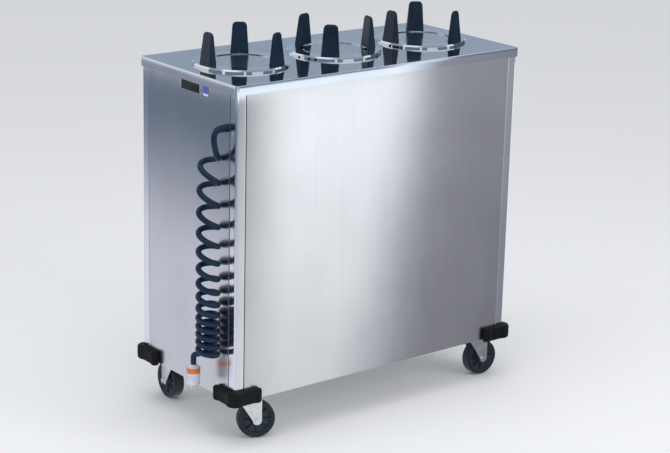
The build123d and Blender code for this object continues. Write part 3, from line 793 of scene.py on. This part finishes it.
def cross_screw(height):
    """A domed screw head with a cross sunk into it."""
    bm = turned(SCREW_DOME, SCREW_STEPS)
    for axis in ((1, 0, 0), (0, 1, 0)):
        for offset in (-RECESS_REACH, -RECESS_HALF, RECESS_HALF, RECESS_REACH):
            middle = Vector(axis) * offset
            bmesh.ops.bisect_plane(bm, geom=everything(bm), plane_co=middle, plane_no=axis)
    cross = []
    for face in bm.faces:
        x, y, z = face.calc_center_median()
        near, far = sorted((abs(x), abs(y)))
        if z > DOME_FOOT and near < RECESS_HALF and far < RECESS_REACH:
            cross.append(face)
    sunk = bmesh.ops.extrude_face_region(bm, geom=cross)
    bmesh.ops.delete(bm, geom=cross, context="FACES")
    moved = [item for item in sunk["geom"] if isinstance(item, bmesh.types.BMVert)]
    bmesh.ops.translate(bm, vec=(0, 0, -RECESS_DEPTH), verts=moved)
    return place(bm, frame_at((WALL_X, SCREW_Y, height), (-1, 0, 0)))


def make_screws(materials):
    bm = join(cross_screw(SCREW_HEIGHTS[0]), cross_screw(SCREW_HEIGHTS[1]))
    heads = new_object(
        "post_screw_heads", bm, materials["plated"], "cabinet", smooth=False
    )
    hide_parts("post_screws")


# ---------------------------------------------------------------- painted seam shade and bumpers

# The dark strips of painted shade in the gaps at the seams, in metres: how far along its face each
# stands, its size and its depth.
SEAM_ON_FRONT = 0.4371
SEAM_ON_END = 0.1871
SEAM_WIDTH = 0.0020
SEAM_DEPTH = 0.0010
SEAM_SUNK = 0.0002
SEAM_Z = (0.130, 0.945)


def make_painted_gap_shade(materials):
    """Painted shade in the gaps between the panels and the corner posts: thin dark strips sunk in
    their grooves.
    """
    bm = bmesh.new()
    middle = sum(SEAM_Z) / 2
    tall = SEAM_Z[1] - SEAM_Z[0]
    inward = SEAM_DEPTH / 2 + SEAM_SUNK
    for x_side, y_side in CORNERS.values():
        on_front = (x_side * SEAM_ON_FRONT, y_side * (HALF_WIDTH - inward), middle)
        on_end = (x_side * (HALF_LENGTH - inward), y_side * SEAM_ON_END, middle)
        # Each strip is painted shade, set in the gap on the front or back and on the end.
        block(on_front, (SEAM_WIDTH, SEAM_DEPTH, tall), bm=bm)
        block(on_end, (SEAM_DEPTH, SEAM_WIDTH, tall), bm=bm)
    new_object("painted_seam_shade", bm, materials["gap_shade"], "cabinet", smooth=False)


BUMPER_MERGE = 0.00002
BUMPER_VOXEL = 0.0022
BUMPER_PASSES = 9
BUMPER_SMOOTHING = 0.5


def make_bumpers(materials):
    """Corner bumpers moulded in rubber: every rim of the solid's shape well rounded."""
    for corner in CORNERS:
        solid = f"corner_bumper_{corner}"
        bm = bmesh.new()
        bm.from_mesh(nodes[solid].data)
        bmesh.ops.remove_doubles(bm, verts=bm.verts, dist=BUMPER_MERGE)
        name = f"moulded_bumper_{corner}"
        bumper = new_object(name, bm, materials["bumper"], "cabinet")
        fine = bumper.modifiers.new("fine", "REMESH")
        fine.mode = "VOXEL"
        fine.voxel_size = BUMPER_VOXEL
        bm = bmesh.new()
        bm.from_mesh(bumper.evaluated_get(bpy.context.evaluated_depsgraph_get()).to_mesh())
        bumper.modifiers.remove(fine)
        for _ in range(BUMPER_PASSES):
            bmesh.ops.smooth_vert(
                bm,
                verts=bm.verts,
                factor=BUMPER_SMOOTHING,
                use_axis_x=True,
                use_axis_y=True,
                use_axis_z=True,
            )
        for face in bm.faces:
            face.smooth = True
        bm.to_mesh(bumper.data)
        bm.free()
        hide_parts(solid)


# ---------------------------------------------------------------- wheels

# How far each caster is swung, in degrees.
CASTER_ANGLES = {"front_left": -22, "front_right": -4, "back_left": 86, "back_right": 40}
# Outlines as (radius, height along the axle): the whole tyre, and one half of the core.
TYRE_PROFILE = (
    (0.0396, -0.0150), (0.0418, -0.0158), (0.0456, -0.0160), (0.0464, -0.0156), (0.0470, -0.0159),
    (0.0486, -0.0150), (0.0500, -0.0128), (0.0507, -0.0095), (0.0510, -0.0045), (0.0510, 0.0045),
    (0.0507, 0.0095), (0.0500, 0.0128), (0.0486, 0.0150), (0.0470, 0.0159), (0.0464, 0.0156),
    (0.0456, 0.0160), (0.0418, 0.0158), (0.0396, 0.0150),
)
CORE_HALF = (
    (0.0052, 0.0180), (0.0122, 0.0180), (0.0140, 0.0174), (0.0148, 0.0160), (0.0154, 0.0100),
    (0.0170, 0.0082), (0.0340, 0.0078), (0.0362, 0.0094), (0.0374, 0.0134), (0.0384, 0.0144),
    (0.0398, 0.0146),
)
SPOKES = 8
SPOKE_SPAN = (0.0146, 0.0372)
SPOKE_SIZE = (0.0024, 0.0250)
SPOKE_RIM = 0.0006
TYRE_STEPS = 72
CORE_STEPS = 48
CREASE_ANGLE = math.radians(40)


def make_wheel(materials, corner):
    """A rubber tyre on a ribbed moulded core, spun round the caster's axle."""
    low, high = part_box(f"caster_wheel_{corner}")
    centre = (Vector(low) + Vector(high)) / 2
    angle = math.radians(CASTER_ANGLES[corner])
    frame_of_wheel = frame_at(centre, (-math.sin(angle), math.cos(angle), 0))
    body = f"wheel_{corner}"
    tyre = place(turned(TYRE_PROFILE, TYRE_STEPS, ring=True), frame_of_wheel)
    new_object(f"caster_tyre_{corner}", tyre, materials["tread"], body)
    other_half = tuple((radius, -height) for radius, height in reversed(CORE_HALF))
    bm = turned(CORE_HALF + other_half, CORE_STEPS, ring=True)
    inner, outer = SPOKE_SPAN
    for i in range(SPOKES):
        spoke = block(((inner + outer) / 2, 0, 0), (outer - inner, *SPOKE_SIZE), 0, SPOKE_RIM)
        place(spoke, Matrix.Rotation(math.tau * i / SPOKES, 4, "Z"))
        bm = join(bm, spoke)
    core = new_object(
        f"caster_core_{corner}", place(bm, frame_of_wheel), materials["core"], body
    )
    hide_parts(f"caster_wheel_{corner}")
    core.modifiers.new("creases", "EDGE_SPLIT").split_angle = CREASE_ANGLE


# ---------------------------------------------------------------- platform springs

# Each silo's middle along X, and the angle of its first guide post in degrees.
SILO_X = (-0.302, 0.0, 0.302)
SILO_TURNS = (58, 107, 58)
SPRINGS_PER_SILO = 3
SPRING_CIRCLE = 0.104
SPRING_EYES = (0.7715, 0.9250)
EYE_RADIUS = 0.0052
SPRING_RADIUS = 0.0062
SPRING_WIRE = 0.0016
SPRING_PITCH = 0.00163
POINTS_PER_TURN = 10
WIRE_STEPS = 1


def spring_line():
    """The wire of one spring: its lower eye, its close turns and its upper eye."""
    low, high = SPRING_EYES
    steps = range(POINTS_PER_TURN + 1)
    lower = [math.pi / 2 + math.tau * i / POINTS_PER_TURN for i in steps]
    points = [(EYE_RADIUS * math.cos(a), 0, low + EYE_RADIUS * math.sin(a)) for a in lower]
    foot = low + EYE_RADIUS + SPRING_WIRE
    turns = int((high - low - 2 * (EYE_RADIUS + SPRING_WIRE)) / SPRING_PITCH)
    for i in range(turns * POINTS_PER_TURN + 1):
        angle = math.tau * i / POINTS_PER_TURN
        height = foot + SPRING_PITCH * i / POINTS_PER_TURN
        points.append((SPRING_RADIUS * math.cos(angle), SPRING_RADIUS * math.sin(angle), height))
    upper = [-math.pi / 2 + math.tau * i / POINTS_PER_TURN for i in steps]
    return points + [(EYE_RADIUS * math.cos(a), 0, high + EYE_RADIUS * math.sin(a)) for a in upper]


def spring_mesh():
    """One spring as a round wire along its line."""
    data = bpy.data.curves.new("spring_line", "CURVE")
    data.dimensions = "3D"
    points = spring_line()
    spline = data.splines.new("POLY")
    spline.points.add(len(points) - 1)
    for point, spot in zip(spline.points, points):
        point.co = (*spot, 1)
    data.bevel_depth = SPRING_WIRE / 2
    data.bevel_resolution = WIRE_STEPS
    data.use_fill_caps = True
    holder = bpy.data.objects.new("spring_line", data)
    mesh = bpy.data.meshes.new_from_object(holder)
    bpy.data.objects.remove(holder)
    return mesh


def make_springs(materials):
    """Each silo's three springs, one mesh for each silo and with no body of its own."""
    one = spring_mesh()
    apart = 360 / SPRINGS_PER_SILO
    for silo, middle, turn in zip(SILOS, SILO_X, SILO_TURNS):
        bm = bmesh.new()
        for i in range(SPRINGS_PER_SILO):
            fresh = bmesh.new()
            fresh.from_mesh(one)
            angle = math.radians(turn + (i + 0.5) * apart)
            outward = Vector((math.cos(angle), math.sin(angle), 0))
            spot = Vector((middle, 0, 0)) + SPRING_CIRCLE * outward
            place(fresh, Matrix.Translation(spot) @ Matrix.Rotation(angle + math.pi / 2, 4, "Z"))
            join(bm, fresh)
        springs = new_object(
            f"silo_{silo}_wound_springs", bm, materials["spring"], None
        )
        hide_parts(f"silo_{silo}_springs")
        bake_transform(springs)
    bpy.data.meshes.remove(one)


# ---------------------------------------------------------------- studio

FLOOR_COLOUR = (0.86, 0.86, 0.87)
FLOOR_HALF = 30
BACKGROUND = (0.93, 0.93, 0.94)
SKY_LIGHT = (0.95, 0.97, 1.0)
SKY_STRENGTH = 0.78


def flat_board(name, corners, material):
    """A flat board over local X and Y between these two corners."""
    (left, low), (right, high) = corners
    bm = bmesh.new()
    bmesh.ops.create_grid(bm, x_segments=1, y_segments=1, size=1)
    bmesh.ops.scale(bm, vec=((right - left) / 2, (high - low) / 2, 1), verts=bm.verts)
    bmesh.ops.translate(bm, vec=((left + right) / 2, (low + high) / 2, 0), verts=bm.verts)
    mesh = bpy.data.meshes.new(name)
    bm.to_mesh(mesh)
    bm.free()
    mesh.materials.append(material)
    return link_object(name, mesh)


def make_floor():
    material, _, shader = new_material("floor", gloss=0.0)
    shader.inputs["Base Color"].default_value = (*FLOOR_COLOUR, 1)
    shader.inputs["Roughness"].default_value = 1.0
    corners = ((-FLOOR_HALF, -FLOOR_HALF), (FLOOR_HALF, FLOOR_HALF))
    floor = flat_board("floor", corners, material)
    floor.visible_glossy = False


# Reflection cards: studio boards that only the metal sees.  The cards of the four walls stand
# this far off them and are drawn in the wall's own coordinates, spread as the mirrored view is.
CARD_GAP = 0.22


def reflection_card(name, shift, spread, corners, turn, paint, lean=math.pi / 2):
    """A board over local X (along) and Y (up), lit on the cart's side by what paint makes."""
    material = bpy.data.materials.new(name)
    material.use_nodes = True
    tree = material.node_tree
    tree.nodes.remove(tree.nodes["Principled BSDF"])
    link = tree.links.new
    place_on_card = tree.nodes.new("ShaderNodeTexCoord")
    split = tree.nodes.new("ShaderNodeSeparateXYZ")
    link(place_on_card.outputs["Object"], split.inputs[0])
    glow = tree.nodes.new("ShaderNodeEmission")
    colour, strength = paint(tree, split.outputs["X"], split.outputs["Y"])
    set_or_link(tree, glow.inputs["Color"], colour)
    set_or_link(tree, glow.inputs["Strength"], strength)
    side = tree.nodes.new("ShaderNodeNewGeometry")
    clear = tree.nodes.new("ShaderNodeBsdfTransparent")
    one_sided = tree.nodes.new("ShaderNodeMixShader")
    link(side.outputs["Backfacing"], one_sided.inputs[0])
    link(clear.outputs[0], one_sided.inputs[1])
    link(glow.outputs[0], one_sided.inputs[2])
    link(one_sided.outputs[0], tree.nodes["Material Output"].inputs["Surface"])
    card = flat_board(name, corners, material)
    card.location = shift
    card.scale = (spread, spread, spread)
    card.rotation_euler = (lean, 0, turn)
    card.visible_camera = False
    card.visible_diffuse = False
    card.visible_shadow = False


# The band of heights, on the walls' cards, where the deck's skirt takes over from the panels.
SKIRT_START = 0.925
SKIRT_END = 0.945


def paint_front(tree, along_x, height):
    """Bright to the left of a soft slanting edge, grey to its right, fading at the far left."""
    bright = work_out(tree, "MULTIPLY_ADD", height, 0.55, 0.87)
    grey = work_out(tree, "MULTIPLY_ADD", height, 0.12, 0.26)
    grey = work_out(tree, "MULTIPLY", grey, ease(tree, along_x, 0.15, 0.55, 1.1, 0.85))
    edge = work_out(tree, "MULTIPLY_ADD", height, 0.17, -0.04)
    half = work_out(tree, "MULTIPLY_ADD", height, -0.10, 0.19)
    start = work_out(tree, "SUBTRACT", edge, half)
    end = work_out(tree, "ADD", edge, half)
    share = ease(tree, along_x, start, end)
    level = ease(tree, along_x, start, end, bright, grey)
    fading = work_out(tree, "MULTIPLY_ADD", height, -0.7, 0.87)
    dimmed = ease(tree, height, SKIRT_START, SKIRT_END, fading, 1.0)
    left = ease(tree, along_x, -0.50, -0.28, dimmed, 1.0)
    colour = mix_colours(tree, share, (0.96, 1.0, 1.0), (0.97, 0.97, 1.05))
    return colour, work_out(tree, "MULTIPLY", level, left)


def paint_cord_end(tree, along_y, height):
    """Dark blue grey at the top, brightening downwards, with a paler skirt."""
    upper = ease(tree, height, 0.42, 0.88)
    rim = ease(tree, height, SKIRT_START, SKIRT_END)
    wall = mix_colours(tree, upper, (0.76, 0.76, 0.84), (0.17, 0.215, 0.285))
    return mix_colours(tree, rim, wall, (0.36, 0.38, 0.45)), 1.0


def paint_behind(tree, along_x, height):
    """An even blue grey board that the top of the cart mirrors."""
    rise = ease(tree, height, 0.6, 2.2)
    return mix_colours(tree, rise, (0.39, 0.45, 0.53), (0.33, 0.40, 0.49)), 1.0


def bright_band(tree, along, rise, fall):
    """One between the end of rise and the start of fall, and zero outside both."""
    return work_out(tree, "MULTIPLY", ease(tree, along, *rise), ease(tree, along, *fall, 1.0, 0.0))


def paint_flag(tree, along_x, height):
    """A dark blue grey board with one bright upright strip, for the crisp lights in the trim."""
    strip = bright_band(tree, along_x, (0.18, 0.24), (0.38, 0.46))
    return mix_colours(tree, strip, (0.20, 0.255, 0.33), (1.15, 1.2, 1.25)), 1.0


def paint_side(tree, along_x, height):
    """An even dark board, beyond the plain end."""
    return (0.10, 0.125, 0.17, 1), 1.0


def paint_ceiling(tree, along_x, along_y):
    """A grey ceiling with one long bright panel down its middle."""
    level = ease(tree, work_out(tree, "ABSOLUTE", along_y), 0.25, 0.55, 1.0, 0.0)
    return mix_colours(tree, level, (0.34, 0.39, 0.46), (0.95, 0.97, 1.0)), 1.0


def paint_band(tree, along_x, height):
    """A bright soft band between greyer sides, for the back and the plain end."""
    band = bright_band(tree, along_x, (-0.42, -0.12), (0.10, 0.46))
    level = work_out(tree, "MULTIPLY_ADD", band, 0.75, 0.38)
    lift = work_out(tree, "MULTIPLY_ADD", height, 0.3, 0.82)
    colour = mix_colours(tree, band, (0.95, 0.96, 1.04), (0.97, 1.0, 1.0))
    return colour, work_out(tree, "MULTIPLY", level, lift)


WALL_LOW = -0.60
WALL_HIGH = 0.96
FLAG_LOW = -1.0
FLAG_HIGH = 2.6


def make_cards():
    wall = HALF_WIDTH + CARD_GAP
    end = HALF_LENGTH + CARD_GAP
    for name, shift, spread, left, right, turn, paint in (
        ("front_card", (0.1821, -wall, -0.1176), 1.0599, -0.85, 1.15, 0, paint_front),
        ("back_card", (-0.05, wall, -0.1159), 1.0593, -0.7, 0.46, 180, paint_band),
        ("cord_end_card", (-end, 0.3325, -0.1678), 1.0854, -1.1, 0.75, -90, paint_cord_end),
        ("plain_end_card", (end, 0, -0.1648), 1.0843, -0.36, 0.9, 90, paint_band),
    ):
        corners = ((left, WALL_LOW), (right, WALL_HIGH))
        reflection_card(name, shift, spread, corners, math.radians(turn), paint)
    for name, spot, half, turn, paint in (
        ("left_flag", (-2.3, -0.2, 0), 1.15, -90, paint_flag),
        ("near_flag", (-1.75, -2.2, 0), 1.15, -38, paint_flag),
        ("right_flag", (1.5, -2.3, 0), 1.15, 34, paint_flag),
        ("side_flag", (2.2, -0.5, 0), 1.5, 90, paint_side),
    ):
        corners = ((-half, FLAG_LOW), (half, FLAG_HIGH))
        reflection_card(name, spot, 1.0, corners, math.radians(turn), paint)
    far_corners = ((-1.9, 1.02), (1.9, 2.4))
    reflection_card("far_card", (1.25, 1.6, 0), 1.0, far_corners, math.radians(142), paint_behind)
    ceiling_corners = ((-1.7, -1.5), (1.7, 1.5))
    reflection_card("ceiling", (0, 0, 2.9), 1.0, ceiling_corners, 0, paint_ceiling, lean=0)


def make_world():
    """Soft light from all round, and a pale background for what is seen or mirrored directly."""
    world = bpy.data.worlds.new("studio")
    bpy.context.scene.world = world
    world.use_nodes = True
    tree = world.node_tree
    light = tree.nodes["Background"]
    light.inputs["Color"].default_value = (*SKY_LIGHT, 1)
    light.inputs["Strength"].default_value = SKY_STRENGTH
    seen = put(tree, "ShaderNodeBackground", Color=(*BACKGROUND, 1), Strength=1.0)
    path = tree.nodes.new("ShaderNodeLightPath")
    direct = work_out(tree, "ADD", path.outputs["Is Camera Ray"], path.outputs["Is Glossy Ray"])
    direct = work_out(tree, "ADD", direct, path.outputs["Is Transmission Ray"])
    mix = tree.nodes.new("ShaderNodeMixShader")
    tree.links.new(work_out(tree, "MINIMUM", direct, 1.0), mix.inputs[0])
    tree.links.new(light.outputs[0], mix.inputs[1])
    tree.links.new(seen.outputs[0], mix.inputs[2])
    tree.links.new(mix.outputs[0], tree.nodes["World Output"].inputs["Surface"])


# Lamps: name, place, what it is aimed at, size, watts, colour.
LAMPS = (
    ("front_softbox", (1.6, -3.2, 2.0), (0, 0, 0.5), (1.6, 1.6), 28, (1, 1, 1)),
    ("top_softbox", (-0.8, -0.6, 3.2), (0, 0, 0.9), (2.4, 2.0), 26, (1, 1, 1)),
    ("left_fill", (-3.6, 0.6, 1.8), (-0.4, 0, 0.6), (1.6, 1.8), 14, (0.92, 0.96, 1.0)),
)


def make_lights():
    for name, spot, target, size, watts, colour in LAMPS:
        data = bpy.data.lights.new(name, "AREA")
        data.shape = "RECTANGLE"
        data.size, data.size_y = size
        data.energy = watts
        data.color = colour
        light = link_object(name, data)
        light.location = spot
        aim = Vector(target) - Vector(spot)
        light.rotation_euler = aim.to_track_quat("-Z", "Y").to_euler()


bpy.context.scene.view_settings.view_transform = "Standard"
place_camera()
MATERIALS = make_materials()
make_cord(MATERIALS)
dress_cad_nodes(MATERIALS)
make_wall_plates(MATERIALS)
make_screws(MATERIALS)
for corner_name in CORNERS:
    make_wheel(MATERIALS, corner_name)
make_painted_gap_shade(MATERIALS)
make_bumpers(MATERIALS)
make_springs(MATERIALS)
make_floor()
make_cards()
make_world()
make_lights()
